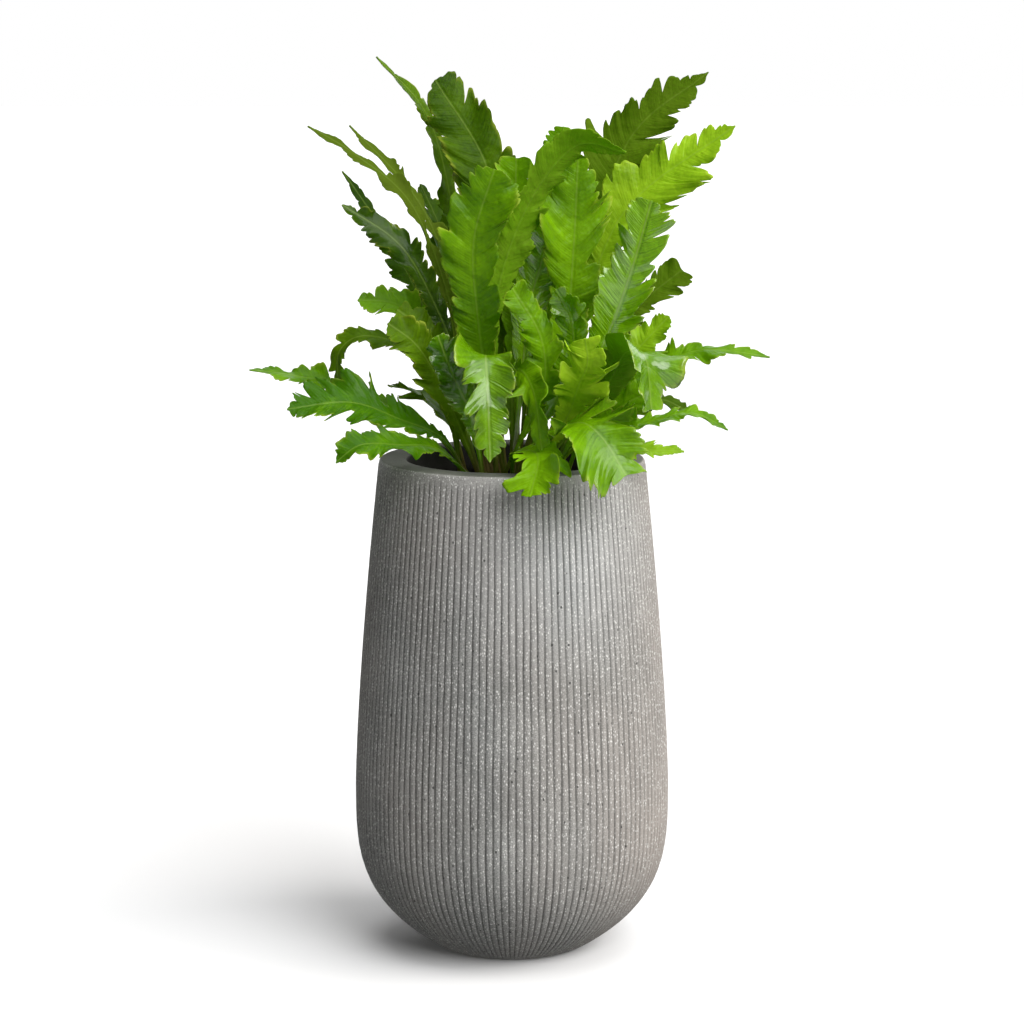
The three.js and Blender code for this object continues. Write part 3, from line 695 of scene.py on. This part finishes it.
class Margin:
    """The outline of both sides of one blade, and how each of its lobes curls."""

    def __init__(self, number, lobes, cut, width, fall):
        random = draws(101 + 37 * number)
        count = 2 * lobes + 1
        self.last = 2 * lobes
        self.width = width
        self.fall = fall
        self.peaks = np.array([0.84 + 0.3 * next(random) for _ in range(count)])
        self.cuts = np.array([cut * (0.6 + 0.6 * next(random)) for _ in range(count)])
        self.phases = [next(random), next(random)]
        rng = np.random.default_rng(900 + number)
        self.depth = rng.uniform(0.35, 2.0, (2, count))
        self.swell = rng.uniform(0, 2 * math.pi, (2, 3))
        self.warp = rng.uniform(0, 2 * math.pi, (2, 2))
        self.fullness = rng.uniform(2.6, 6.5, (2, count))
        self.tilt = rng.uniform(-0.8, 0.8, (2, count))
        self.curl = rng.uniform(-0.6, 0.45, (2, count))
        self.lean = rng.uniform(-0.3, 0.45, (2, count))
        self.slit = rng.uniform(-0.4, 0.3, (2, count))
        self.slit_depth = np.maximum(0, rng.uniform(-0.3, 0.55, (2, count))) * min(1, 2.2 * cut)
        self.teeth = rng.uniform(-0.8, 0.8, (2, count, 3))
        self.tooth_depth = rng.uniform(0.0, 0.1, (2, count, 3))
        self.scallop = rng.uniform(0, 2 * math.pi, (2, 3))

    def lobe(self, station, side):
        """Each row's lobe, and how far the row is from the lobe's middle, from -1 to 1."""
        first = 1 if side == 0 else 0
        fade = np.minimum(1, (self.last - station) / 2)
        station = station + fade * 0.42 * np.sin(0.93 * station + self.warp[side, 0])
        station = station + fade * 0.2 * np.sin(2.3 * station + self.warp[side, 1])
        middle = first + 2 * np.round((station - first) / 2).astype(int)
        middle = np.clip(middle, first, self.last)
        return middle, np.clip(station - middle, -1, 1)

    def half(self, station, side):
        """Half-widths in millimetres: where the blade ends, and how deep the cuts go beside each row."""
        u = station / self.last
        middle, d = self.lobe(station, side)
        count = self.last + 1
        before, after = np.maximum(middle - 1, 0), np.minimum(middle + 1, count - 1)
        envelope = self.width / 2 * blade_shape(u, self.fall) * self.peaks[middle]
        a, b, c = self.swell[side]
        swell = 0.97 + 0.09 * np.sin(9 * u + a) + 0.07 * np.sin(17 * u + b) + 0.04 * np.sin(31 * u + c)
        envelope = envelope * swell
        cuts = self.cuts * self.depth[side]
        near = np.where(d < 0, cuts[before], cuts[after])
        near = np.minimum(1.15 * near, 0.82) * np.where(d < 0, 0.85, 1.0)
        skewed = np.clip(d - SKEW * (1 - d ** 2), -1, 1)
        notch = 1 - (1 - np.abs(skewed) ** self.fullness[side, middle]) ** 0.6
        reach = envelope * (1 - near * notch)
        beside = d - self.slit[side, middle]
        slit = np.maximum(0, 1 - np.abs(beside) / np.where(beside < 0, 0.1, 0.22)) ** 1.3
        reach = reach * (1 - self.slit_depth[side, middle] * slit)
        for k in range(3):
            bite = np.maximum(0, 1 - np.abs(d - self.teeth[side, middle, k]) / 0.2)
            reach = reach * (1 - self.tooth_depth[side, middle, k] * bite)
        first, second, third = self.scallop[side]
        beat = 1.45 * station + 0.5 * np.sin(1.7 * station + first) + 0.25 * np.sin(4.1 * station + third)
        scallop = np.abs(np.sin(math.pi * beat + second)) ** 0.55
        dent = np.minimum(SCALLOP_DEPTH, 0.27 * reach) * (0.8 + 0.5 * np.sin(1.3 * station + third))
        reach = reach - (1 - scallop) * dent
        thin = STALK_HALF * (1 - 0.75 * u)
        return np.hypot(reach, thin), np.hypot(envelope * (1 - near), thin)


# %% [markdown]
# A real frond leaves the crown as a bare stalk, and its blade starts about a fifth of the way up. The
# rows of the mesh could be spread evenly from the crown to the tip, but a plain stalk needs few of them
# and the blade's cuts need many, so the stalk gets twelve, and each station on the margin, from a lobe's
# peak to the next cut, gets sixteen.

# %% The rib and the rows of a blade
STALK_ROWS = 12
COLUMN_SHARES = [0.1, 0.3, 0.52, 0.74, 0.92, 1.0]


def rib_curve(ring, slot, path):
    """The curve of a frond's rib, the lengths along it, and the way its stalk leaves the crown."""
    radius, lean, roots = RINGS[ring]
    turn, tilt = 2 * math.pi * slot / roots, math.radians(lean)
    out = np.array([math.cos(turn), math.sin(turn), 0])
    along = out * math.sin(tilt) + np.array([0, 0, math.cos(tilt)])
    surface = out * radius + np.array([0, 0, crown_height(radius)])
    places = np.array([(x, y, POT_HEIGHT + z) for x, y, z in path], float)
    curve, lengths = spline(np.vstack([surface, surface + ROOT_ABOVE * along, places]))
    return curve, lengths, along


def row_places(margin):
    """Each row's share of the rib's length, its share of the blade's length, and its station."""
    step = np.arange(margin.last * ROWS_PER_STATION + 1)
    within = (1 - np.cos(math.pi * (step % ROWS_PER_STATION) / ROWS_PER_STATION)) / 2
    station = step // ROWS_PER_STATION + within
    u = station / margin.last
    stalk_shares = np.linspace(0, STALK_SHARE, STALK_ROWS, endpoint=False)
    shares = np.concatenate([stalk_shares, STALK_SHARE + (1 - STALK_SHARE) * u])
    on_stalk = np.zeros(STALK_ROWS)
    return shares, np.concatenate([on_stalk, u]), np.concatenate([on_stalk, station])


def at_steps(directions, at):
    """The directions at places between the even steps along a rib."""
    steps = np.arange(FRAME_STEPS + 1)
    return np.stack([np.interp(at, steps, directions[:, k]) for k in range(3)], -1)


# %% [markdown]
# A blade is leathery. It is folded a little along its rib, its margin is frilled in long waves with
# short ruffles on them, its veins sweep forwards, its skin is puckered, and each lobe tilts and curls by
# itself. A sheet of cloth could be crumpled by a simulation, but sums of waves are quicker, and they
# give the same look each time.

# %% The sheet of a blade
RIB_HALF = 1.2
KEEL = 0.16
FRILL_WAVES = 3.4
RUFFLES_PER_WAVE = 2.6
RUFFLE = 0.62
NARROW_RUFFLE = 0.3
WIDE_BLADE = 34
LOBES_BEND_FROM = 0.45
SWEEP = 0.55
SWEEP_GROWTH = 0.011
PUCKER = 0.45


def laid_out(margin, u, station, frill, waves):
    """The sheet's points beside the rib: their place across, lift, share of the width, and sweep."""
    half_columns = len(COLUMN_SHARES) + 1
    x, lift, reach, swept = (np.zeros((len(u), 2 * half_columns + 1)) for _ in range(4))
    narrow = min(1.0, max(0.0, (WIDE_BLADE - margin.width) / 10))
    for which, sign in ((0, -1), (1, 1)):
        half, cut_half = margin.half(station, which)
        rib = np.minimum(RIB_HALF * (1 - 0.6 * u), 0.6 * half)
        far = np.stack([rib] + [rib + (half - rib) * share for share in COLUMN_SHARES], -1)
        middle, d = margin.lobe(station, which)
        wave = np.sin(2 * math.pi * (FRILL_WAVES * u + margin.phases[which]))[:, None]
        beat = 2 * math.pi * RUFFLES_PER_WAVE * FRILL_WAVES * u + waves[3 + which]
        ruffle = (RUFFLE + NARROW_RUFFLE * narrow) * frill * np.sin(beat)[:, None]
        share = far / (margin.width / 2)
        beyond = np.maximum(0, far - LOBES_BEND_FROM * cut_half[:, None]) ** 2 / (far + 4)
        lobe_lift = margin.tilt[which, middle] * d + margin.curl[which, middle] * (1 - 0.5 * d ** 2)
        rise = KEEL * far + (frill * wave + ruffle) * share ** 2 + lobe_lift[:, None] * beyond
        index = half_columns + sign * np.arange(1, half_columns + 1)
        x[:, index] = sign * far
        lift[:, index] = rise * np.minimum(1, 30 * u)[:, None]
        reach[:, index] = far / half[:, None]
        swept[:, index] = margin.lean[which, middle][:, None] * beyond
    return x, lift, reach, swept


def puckers(run, x, waves):
    """Small dents in the skin, from -1 to 1, where run is how far along the rib a row starts."""
    fore = np.sin(run / 2.6 + x / 3.4 + waves[0])
    back = np.sin(run / 5.3 - x / 2.9 + waves[1])
    return fore * back * np.minimum(1, np.abs(x) / 12)


# %% [markdown]
# The leaf is half a millimetre thick, with a slim raised rib on its upper side and a keel underneath. A
# modifier could thicken the sheet evenly, but not with a rib and a keel. So each row is one ring of
# points: over the top from the left margin to the right one, and back along the underside. The rings
# join into one closed body, and each point also carries what the finish needs to know about its place.

# %% The body of a blade
SHEET = 0.5
SLIM_RIB = 0.35
KEEL_DEPTH = 1.7


def row_again(grid):
    """The grid with its first row twice, since the stalk's buried end has one more row of points."""
    return np.concatenate([grid[:1], grid])


def both_sides(grid):
    """What holds on the upper side of the sheet, for the ring that goes round both of its sides."""
    return row_again(np.concatenate([grid, grid[:, ::-1]], 1))


def blade_grid(spec, number):
    """The places of a frond's rows and columns, with what its finish needs to know at each."""
    name, ring, slot, path, width, face, twist, lobes, cut, frill, fall, _, tone, turned_over = spec
    curve, lengths, along = rib_curve(ring, slot, path)
    tangents, faces = rib_frames(curve, lengths, face, twist)
    margin = Margin(number, lobes, cut, width, fall)
    shares, u, station = row_places(margin)
    centre = along_curve(curve, lengths, shares)
    tangent = unit(at_steps(tangents, shares * FRAME_STEPS))
    up = square_to(tangent, at_steps(faces, shares * FRAME_STEPS))
    side = np.cross(tangent, up)

    waves = np.random.default_rng(300 + number).uniform(0, 2 * math.pi, 5)
    x, lift, reach, swept = laid_out(margin, u, station, frill, waves)
    far = np.abs(x)
    forward = np.maximum(0, far - STALK_HALF)
    forward = SWEEP * forward + SWEEP_GROWTH * forward ** 2 + swept
    run = shares * lengths[-1]
    sheet = centre[:, None] + side[:, None] * x[..., None] + tangent[:, None] * forward[..., None]
    sheet = sheet + up[:, None] * (lift + PUCKER * puckers(run[:, None], x, waves))[..., None]

    thick = SHEET / 2 * (1 - 0.3 * reach)
    slim = SLIM_RIB * np.maximum(0, 1 - (far / 1.1) ** 2)
    keel = (KEEL_DEPTH * (1 - 0.65 * u))[:, None] * np.maximum(0, 1 - (far / 1.6) ** 2)
    above, below = (thick + keel, thick + slim) if turned_over else (thick + slim, thick + keel)
    top = sheet + up[:, None] * above[..., None]
    under = sheet - up[:, None] * below[..., None]
    points = np.concatenate([top, under[:, ::-1]], 1)
    root = points[0] - (ROOT_DEPTH - ROOT_GAP) * along
    points = np.concatenate([root[None], points])
    upper = np.concatenate([np.ones(x.shape), np.zeros(x.shape)], 1)
    on_blade = (shares - STALK_SHARE) / (1 - STALK_SHARE)
    values = {
        "vein": both_sides(np.broadcast_to(run[:, None], x.shape)),
        "from_rib": both_sides(far),
        "reach": both_sides(reach),
        "blade": both_sides(np.broadcast_to(on_blade[:, None], x.shape)),
        "upper": row_again(1 - upper if turned_over else upper),
        "tone": np.full(points.shape[:2], tone),
        "shine": np.full(points.shape[:2], SHINE.get(name, 0.0)),
    }
    return points, values


# %% [markdown]
# A leaf looks like leather with light in it. Its upper side is glossy and its underside dull and
# greyer. The veins lie side by side like fine cords from the rib to the margin, so the finish counts
# them along the rib and raises a low wave on each. The rib is pale, the margin is lighter and a little
# yellow, partly its own colour and partly a painted highlight, the stalk turns brown towards the crown,
# and a share of the light passes through the blade and comes out yellower. A subsurface shader could do
# that, but in a thin sheet a translucent one is truer. Young fronds are light and old ones dark: one
# recipe makes three finishes, and each frond has a tone of its own; right_pale's high tone is painted
# light against the shadow that right_bent throws on it. The shine of a few fronds is a clear coat, and
# the more they shine, the higher their veins stand.

# %% The leaf finishes
VEIN_PITCH = 1.6
STRAND_LENGTH = 30
THROUGH_SHARE = 0.34


def leaf_finish(name, deep, fresh, under, glow, gloss, sheen):
    leaf = Finish(name)
    vein, from_rib = leaf.attribute("vein"), leaf.attribute("from_rib")
    reach, blade = leaf.attribute("reach"), leaf.attribute("blade")
    upper, tone, shine = leaf.attribute("upper"), leaf.attribute("tone"), leaf.attribute("shine")
    clouds = leaf.noise(26, 3)
    speckle = leaf.noise(2.5, 3)
    strand = {"X": vein / VEIN_PITCH, "Y": from_rib / STRAND_LENGTH, "Z": clouds * 2}
    spot = leaf.node("ShaderNodeCombineXYZ", {}, strand)
    cord = leaf.node("ShaderNodeTexNoise", {}, {"Vector": spot, "Scale": 1.0, "Detail": 2.0})
    on_blade = (from_rib / 1.5 - 0.8).held()
    fresher = (tone + (clouds - 0.46) * 1.3 + (speckle - 0.5) * 0.45 + (cord - 0.5) * on_blade * 0.6).held()
    skin = leaf.mix(fresher, deep, fresh)
    # Partly a painted highlight: the margin is made lighter and a little yellow, partly the leaf's own
    # colour.
    margin = (reach.above(0.92, 0.14) * on_blade * clouds.above(0.5, 0.2) * 0.6).held()
    skin = leaf.mix(margin, skin, (0.42, 0.47, 0.05))
    dull = leaf.mix(fresher, under, leaf.mix(0.5, under, fresh))
    skin = leaf.mix(upper, dull, skin)
    rib = (1 - from_rib.above(0.55, 0.4)) * (0.15 + 0.15 * upper + 0.5 * shine)
    skin = leaf.mix(rib, skin, (0.3, 0.42, 0.07))
    stalk = 1 - blade.above(-0.02, 0.2)
    skin = leaf.mix(stalk * 0.8, skin, (0.085, 0.1, 0.014))
    brown = 1 - blade.above(-0.01, 0.18)
    skin = leaf.mix(brown * 0.85, skin, (0.085, 0.05, 0.018))
    roughness = (0.7 - (0.7 - gloss) * upper - 0.1 * shine + (speckle - 0.5) * 0.16).held()
    blister = leaf.noise(11, 2)
    height = cord * on_blade * (0.7 + 1.5 * shine) + speckle * 0.15 + blister * 2.8
    coat = (shine * upper * 0.9).held()
    inputs = {
        "Base Color": skin, "Roughness": roughness, "Specular IOR Level": sheen,
        "Coat Weight": coat, "Coat Roughness": 0.17, "Coat IOR": 1.9,
    }
    solid = leaf.surface(inputs, height, 0.75)
    through = leaf.node("ShaderNodeBsdfTranslucent", {}, {"Color": (*glow, 1)})
    return leaf.done(leaf.node("ShaderNodeMixShader", {}, {0: THROUGH_SHARE, 1: solid, 2: through}))


LEAF_LOOKS = {
    "leaf_dark": {
        "deep": (0.019, 0.047, 0.001), "fresh": (0.115, 0.22, 0.002),
        "under": (0.08, 0.12, 0.006), "glow": (0.26, 0.48, 0.002), "gloss": 0.42, "sheen": 0.07,
    },
    "leaf_mid": {
        "deep": (0.036, 0.11, 0.001), "fresh": (0.23, 0.46, 0.003),
        "under": (0.13, 0.22, 0.008), "glow": (0.38, 0.7, 0.003), "gloss": 0.32, "sheen": 0.14,
    },
    "leaf_light": {
        "deep": (0.11, 0.23, 0.002), "fresh": (0.4, 0.62, 0.02),
        "under": (0.26, 0.38, 0.02), "glow": (0.52, 0.82, 0.008), "gloss": 0.36, "sheen": 0.16,
    },
}
LEAVES = {name: leaf_finish(name, **looks) for name, looks in LEAF_LOOKS.items()}

# %% [markdown]
# Forty-nine fronds rise from six rings of roots on the crown. Each row of the table is one frond: its
# name, its ring and its place in the ring, the places of its rib as X, Y and height above the rim, its
# width, the way its broad side faces, its twist, its lobes to a side, how deep they are cut, its frill,
# how sharply its tip runs out, its finish, its tone from dark to light, and whether the side that faces
# there is the underside. The fronds could be scattered by a rule, but an eye knows this plant by where
# its fronds stand, so they are set one by one. A second, short table names those with a shine.

# %% The fronds
UPPER, UNDER = False, True
SHINE = {
    "right_glossy": 0.9, "right_bent": 0.7, "centre_glossy": 0.9, "front_droop": 0.5,
    "front_broad": 0.2, "left_lobed": 0.1, "left_front": 0.6, "front_upright": 0.5,
}
FRONDS = [
    ["left_far", 0, 7, [[-63, 12, 20], [-123, 22, 49], [-163, 22, 59], [-201, 18, 65]],
     26, [0, -0.4, 1], 20, 7, 0.5, 3, 0.85, "leaf_mid", 0.25, UPPER],
    ["left_broad", 0, 9, [[-51, -34, 18], [-84, -52, 36], [-120, -64, 50], [-166, -72, 46]],
     48, [-0.1, -0.6, 0.8], 10, 8, 0.55, 4, 0.8, "leaf_mid", -0.1, UPPER],
    ["left_low", 0, 10, [[-54, -60, 14], [-83, -92, 22], [-110, -106, 24], [-128, -112, 12]],
     38, [0, -0.7, 0.8], 10, 7, 0.4, 3, 0.85, "leaf_mid", 0.05, UPPER],
    ["left_shaded", 1, 7, [[-43, -32, 36], [-56, -42, 66], [-72, -50, 92], [-92, -56, 108]],
     40, [0.5, -0.8, 0.4], 10, 7, 0.4, 4, 0.6, "leaf_dark", 0.7, UPPER],
    ["left_arch", 0, 8, [[-51, -4, 44], [-82, -10, 84], [-112, -14, 94], [-130, -18, 82], [-130, -24, 54]],
     26, [0.3, -0.5, 1], 20, 7, 0.5, 3, 0.85, "leaf_dark", 0.5, UPPER],
    ["left_mid", 1, 6, [[-42, 14, 41], [-60, 22, 86], [-86, 26, 113], [-118, 22, 118]],
     36, [0.3, -0.8, 0.5], 10, 7, 0.6, 3, 0.7, "leaf_mid", 0.45, UPPER],
    ["left_dark", 2, 4, [[-38, 34, 47], [-64, 52, 100], [-93, 60, 157], [-131, 62, 214]],
     24, [0.6, -0.8, 0.3], 20, 8, 0.5, 4, 0.9, "leaf_dark", 0.1, UPPER],
    ["left_lobed", 2, 5, [[-36, 4, 57], [-56, 6, 110], [-84, 6, 160], [-128, 0, 192]],
     29, [0.4, -0.8, 0.4], 20, 8, 0.65, 4, 0.7, "leaf_dark", 0.1, UPPER],
    ["left_long", 1, 8,
     [[-35, -20, 47], [-48, -34, 123], [-75, -40, 194], [-115, -40, 230], [-151, -36, 252]],
     18, [0.8, -0.5, 0.4], 10, 9, 0.6, 3, 0.7, "leaf_dark", -0.15, UNDER],
    ["left_high", 3, 3, [[-28, 13, 59], [-48, 26, 135], [-74, 31, 195], [-124, 35, 250]],
     19, [0.8, -0.6, 0.4], 10, 8, 0.6, 3, 0.7, "leaf_dark", -0.2, UNDER],
    ["left_back", 1, 4, [[-26, 46, 50], [-44, 74, 112], [-54, 92, 160], [-72, 100, 202]],
     36, [0.7, -0.7, 0.4], 10, 7, 0.4, 3, 0.6, "leaf_dark", 0.2, UPPER],
    ["top_broad", 3, 2, [[-12, 24, 56], [-10, 40, 146], [-20, 48, 219], [-59, 52, 284]],
     56, [0.2, -1, 0.2], 10, 8, 0.45, 4, 0.55, "leaf_dark", 0.28, UPPER],
    ["top_curl", 2, 3, [[-23, 40, 53], [-39, 66, 144], [-63, 80, 249], [-105, 86, 301]],
     28, [0.7, -0.7, 0.2], 40, 8, 0.5, 3, 0.85, "leaf_dark", 0.5, UPPER],
    ["centre_light", 2, 7, [[-17, -30, 48], [-26, -48, 117], [-28, -58, 170], [-13, -62, 222]],
     54, [-0.1, -1, 0.1], -10, 7, 0.3, 4, 0.55, "leaf_mid", 0.4, UPPER],
    ["centre_back", 3, 1, [[4, 15, 42], [2, 22, 126], [3, 24, 226]],
     44, [0, -1, 0.1], 10, 7, 0.3, 3, 0.4, "leaf_mid", 0.6, UPPER],
    ["centre_long", 3, 4, [[-10, -14, 46], [-14, -28, 115], [9, -41, 190], [46, -46, 238], [84, -52, 234]],
     36, [0.5, -0.9, 0], 10, 9, 0.35, 3, 0.7, "leaf_mid", 0.7, UNDER],
    ["centre_tall", 3, 5, [[18, -12, 33], [40, -17, 102], [46, -19, 161], [49, -19, 228]],
     50, [0.1, -1, 0.1], 10, 8, 0.45, 4, 0.5, "leaf_mid", 0.58, UPPER],
    ["centre_glossy", 4, 0, [[6, 0, 44], [13, 0, 113], [27, 2, 166], [34, 4, 206]],
     40, [-0.2, -1, 0.3], 10, 7, 0.4, 3, 0.5, "leaf_mid", 1.3, UPPER],
    ["centre_far", 2, 0, [[20, 8, 44], [27, 18, 120], [36, 19, 190], [39, 14, 250]],
     34, [0, -1, 0.1], 10, 7, 0.4, 3, 0.45, "leaf_mid", 0.5, UPPER],
    ["front_small", 2, 6, [[-7, -31, 50], [4, -67, 75], [16, -95, 62], [22, -104, 20]],
     28, [0, -1, 0.4], 0, 5, 0.65, 4.5, 0.6, "leaf_mid", 0.6, UPPER],
    ["right_dark", 2, 1, [[22, 15, 42], [53, 34, 140], [90, 44, 239], [150, 48, 290]],
     56, [-0.3, -1, 0.1], 10, 9, 0.5, 4, 0.95, "leaf_dark", 0.95, UNDER],
    ["right_bright", 3, 0, [[21, 0, 44], [55, 9, 120], [90, 12, 192], [168, 6, 251]],
     60, [-0.3, -1, 0.3], 10, 9, 0.72, 3, 0.95, "leaf_light", 0.62, UPPER],
    ["right_glossy", 2, 9, [[34, -24, 33], [67, -38, 88], [88, -46, 145], [103, -46, 198]],
     48, [-0.1, -1, 0.4], 0, 8, 0.6, 3, 0.6, "leaf_mid", 1.0, UPPER],
    ["right_olive", 1, 0, [[38, 8, 43], [86, 20, 104], [130, 24, 141]],
     32, [-0.3, -0.9, 0.4], 10, 7, 0.4, 3, 0.4, "leaf_dark", 0.8, UNDER],
    ["right_back", 1, 1, [[44, 28, 30], [76, 44, 78], [100, 52, 112], [120, 52, 124]],
     30, [-0.6, -0.6, 0.6], 10, 7, 0.4, 3, 0.85, "leaf_dark", 0.4, UPPER],
    ["right_mid", 1, 12, [[44, -15, 31], [84, -22, 74], [118, -20, 110]],
     28, [-0.2, -0.8, 0.5], 20, 7, 0.5, 3, 0.6, "leaf_light", 0.3, UPPER],
    ["right_bent", 1, 11, [[44, -36, 26], [71, -54, 64], [84, -70, 89], [97, -92, 86], [101, -104, 50]],
     52, [0, 0.75, 0.4], 0, 6, 0.2, 3, 0.5, "leaf_mid", 0.5, UPPER],
    ["right_far", 0, 0, [[48, 12, 27], [98, 22, 58], [143, 22, 79], [197, 16, 75]],
     28, [-0.1, -0.3, 1], 20, 7, 0.5, 3, 0.85, "leaf_mid", 0.3, UPPER],
    ["right_thin", 0, 15, [[47, -8, 18], [97, -15, 27], [134, -18, 36], [163, -22, 24]],
     24, [0, -0.3, 1], 10, 6, 0.5, 2, 0.85, "leaf_mid", 0.3, UPPER],
    ["right_rear", 0, 1, [[48, 30, 17], [92, 46, 29], [115, 48, 38], [138, 44, 28]],
     28, [0, -0.5, 1], 10, 6, 0.4, 2, 0.85, "leaf_dark", 0.4, UPPER],
    ["right_low", 0, 14, [[50, -32, 14], [84, -50, 14], [106, -58, 13], [128, -60, 13]],
     26, [0, -0.5, 1], 10, 7, 0.4, 2, 0.85, "leaf_light", 0.3, UPPER],
    # right_pale's tone is set high as painted light, to lift it out of the shadow that right_bent throws on
    # it.
    ["right_pale", 1, 10, [[38, -53, 33], [49, -84, 66], [55, -98, 84], [53, -104, 102]],
     42, [0.1, -1, 0.3], 0, 7, 0.6, 4.5, 0.5, "leaf_light", 1.6, UPPER],
    ["front_broad", 0, 13, [[29, -63, 24], [49, -103, 40], [65, -126, 32], [82, -136, 6]],
     62, [0.1, -0.8, 0.8], 0, 7, 0.5, 4, 0.6, "leaf_mid", 0.5, UPPER],
    ["front_rim", 0, 12, [[2, -60, 11], [16, -92, 17], [19, -119, 12], [13, -138, -9]],
     43, [0, -0.9, 0.6], 0, 6, 0.7, 4.5, 0.65, "leaf_mid", 0.9, UPPER],
    ["front_droop", 0, 11, [[-12, -50, 40], [-19, -76, 86], [-18, -100, 64], [-16, -110, 12]],
     44, [0, -1, 0.4], 0, 7, 0.6, 3, 0.95, "leaf_mid", 0.5, UPPER],
    ["front_twist", 1, 9, [[14, -50, 37], [24, -66, 68], [20, -74, 102], [0, -78, 136]],
     32, [0.4, -0.9, 0.2], 20, 7, 0.65, 4.5, 0.45, "leaf_mid", 0.5, UPPER],
    ["front_upright", 2, 8, [[25, -36, 35], [44, -53, 74], [44, -60, 112], [32, -64, 134]],
     32, [-0.3, -0.9, 0.2], 10, 7, 0.65, 4.5, 0.6, "leaf_mid", 0.6, UPPER],
    ["back_right_low", 0, 2, [[44, 52, 20], [70, 84, 48], [88, 106, 60]],
     38, [-0.6, -0.4, 0.8], 10, 6, 0.4, 3, 0.85, "leaf_dark", 0.4, UPPER],
    ["back_low", 0, 3, [[20, 64, 24], [30, 100, 52], [38, 130, 54]],
     42, [0, -0.4, 1], 10, 6, 0.4, 3, 0.85, "leaf_dark", 0.4, UPPER],
    ["back_middle", 0, 4, [[0, 60, 40], [0, 96, 84], [-2, 124, 98]],
     44, [0, -0.7, 0.7], 10, 6, 0.4, 3, 0.6, "leaf_dark", 0.4, UPPER],
    ["back_left_low", 0, 5, [[-20, 62, 22], [-34, 98, 48], [-42, 130, 46]],
     42, [0, -0.4, 1], -10, 6, 0.4, 3, 0.85, "leaf_dark", 0.4, UPPER],
    ["back_left_far", 0, 6, [[-46, 48, 18], [-74, 76, 40], [-98, 94, 44]],
     38, [0.6, -0.3, 0.8], 10, 6, 0.4, 3, 0.85, "leaf_dark", 0.4, UPPER],
    ["back_right", 1, 2, [[28, 42, 50], [46, 68, 112], [56, 88, 156]],
     44, [-0.8, -0.5, 0.4], 10, 6, 0.4, 3, 0.6, "leaf_dark", 0.4, UPPER],
    ["back_tall", 1, 3, [[4, 46, 60], [4, 76, 130], [-2, 98, 178]],
     46, [0.6, -0.8, 0.3], -10, 6, 0.4, 4, 0.6, "leaf_dark", 0.4, UPPER],
    ["back_upright", 2, 2, [[12, 34, 56], [22, 54, 130], [26, 64, 196]],
     40, [-0.6, -0.8, 0.3], 10, 6, 0.4, 3, 0.5, "leaf_dark", 0.4, UPPER],
    ["left_inner", 5, 10, [[-46, -20, 40], [-58, -28, 78], [-72, -32, 104], [-86, -32, 116]],
     34, [0.3, -0.8, 0.3], 10, 6, 0.4, 3, 0.6, "leaf_dark", 0.8, UPPER],
    ["left_front", 5, 12, [[-29, -46, 34], [-44, -58, 70], [-55, -64, 100]],
     30, [0.1, -0.9, 0.2], 10, 6, 0.4, 3, 0.5, "leaf_mid", 0.2, UPPER],
    ["right_inner", 5, 15, [[46, -48, 18], [68, -68, 32], [92, -80, 40]],
     36, [0, -0.7, 0.7], 10, 6, 0.4, 3, 0.6, "leaf_mid", 0.7, UPPER],
    ["right_under", 5, 17, [[54, -24, 20], [80, -36, 42], [108, -40, 58]],
     32, [0, -0.8, 0.5], 10, 6, 0.4, 3, 0.6, "leaf_mid", 0.6, UPPER],
]


def add_frond(spec, number):
    points, values = blade_grid(spec, number)
    faces = ring_faces(*points.shape[:2], flat_ends=True)
    name, slot = spec[0], spec[11]
    flat = points.reshape(-1, 3)
    return add_piece(f"blade_{name}", flat, faces, LEAVES[slot], f"frond_{name}", values)


blades = [add_frond(spec, number) for number, spec in enumerate(FRONDS)]
print("fronds:", len(blades), "faces:", sum(len(blade.data.polygons) for blade in blades))
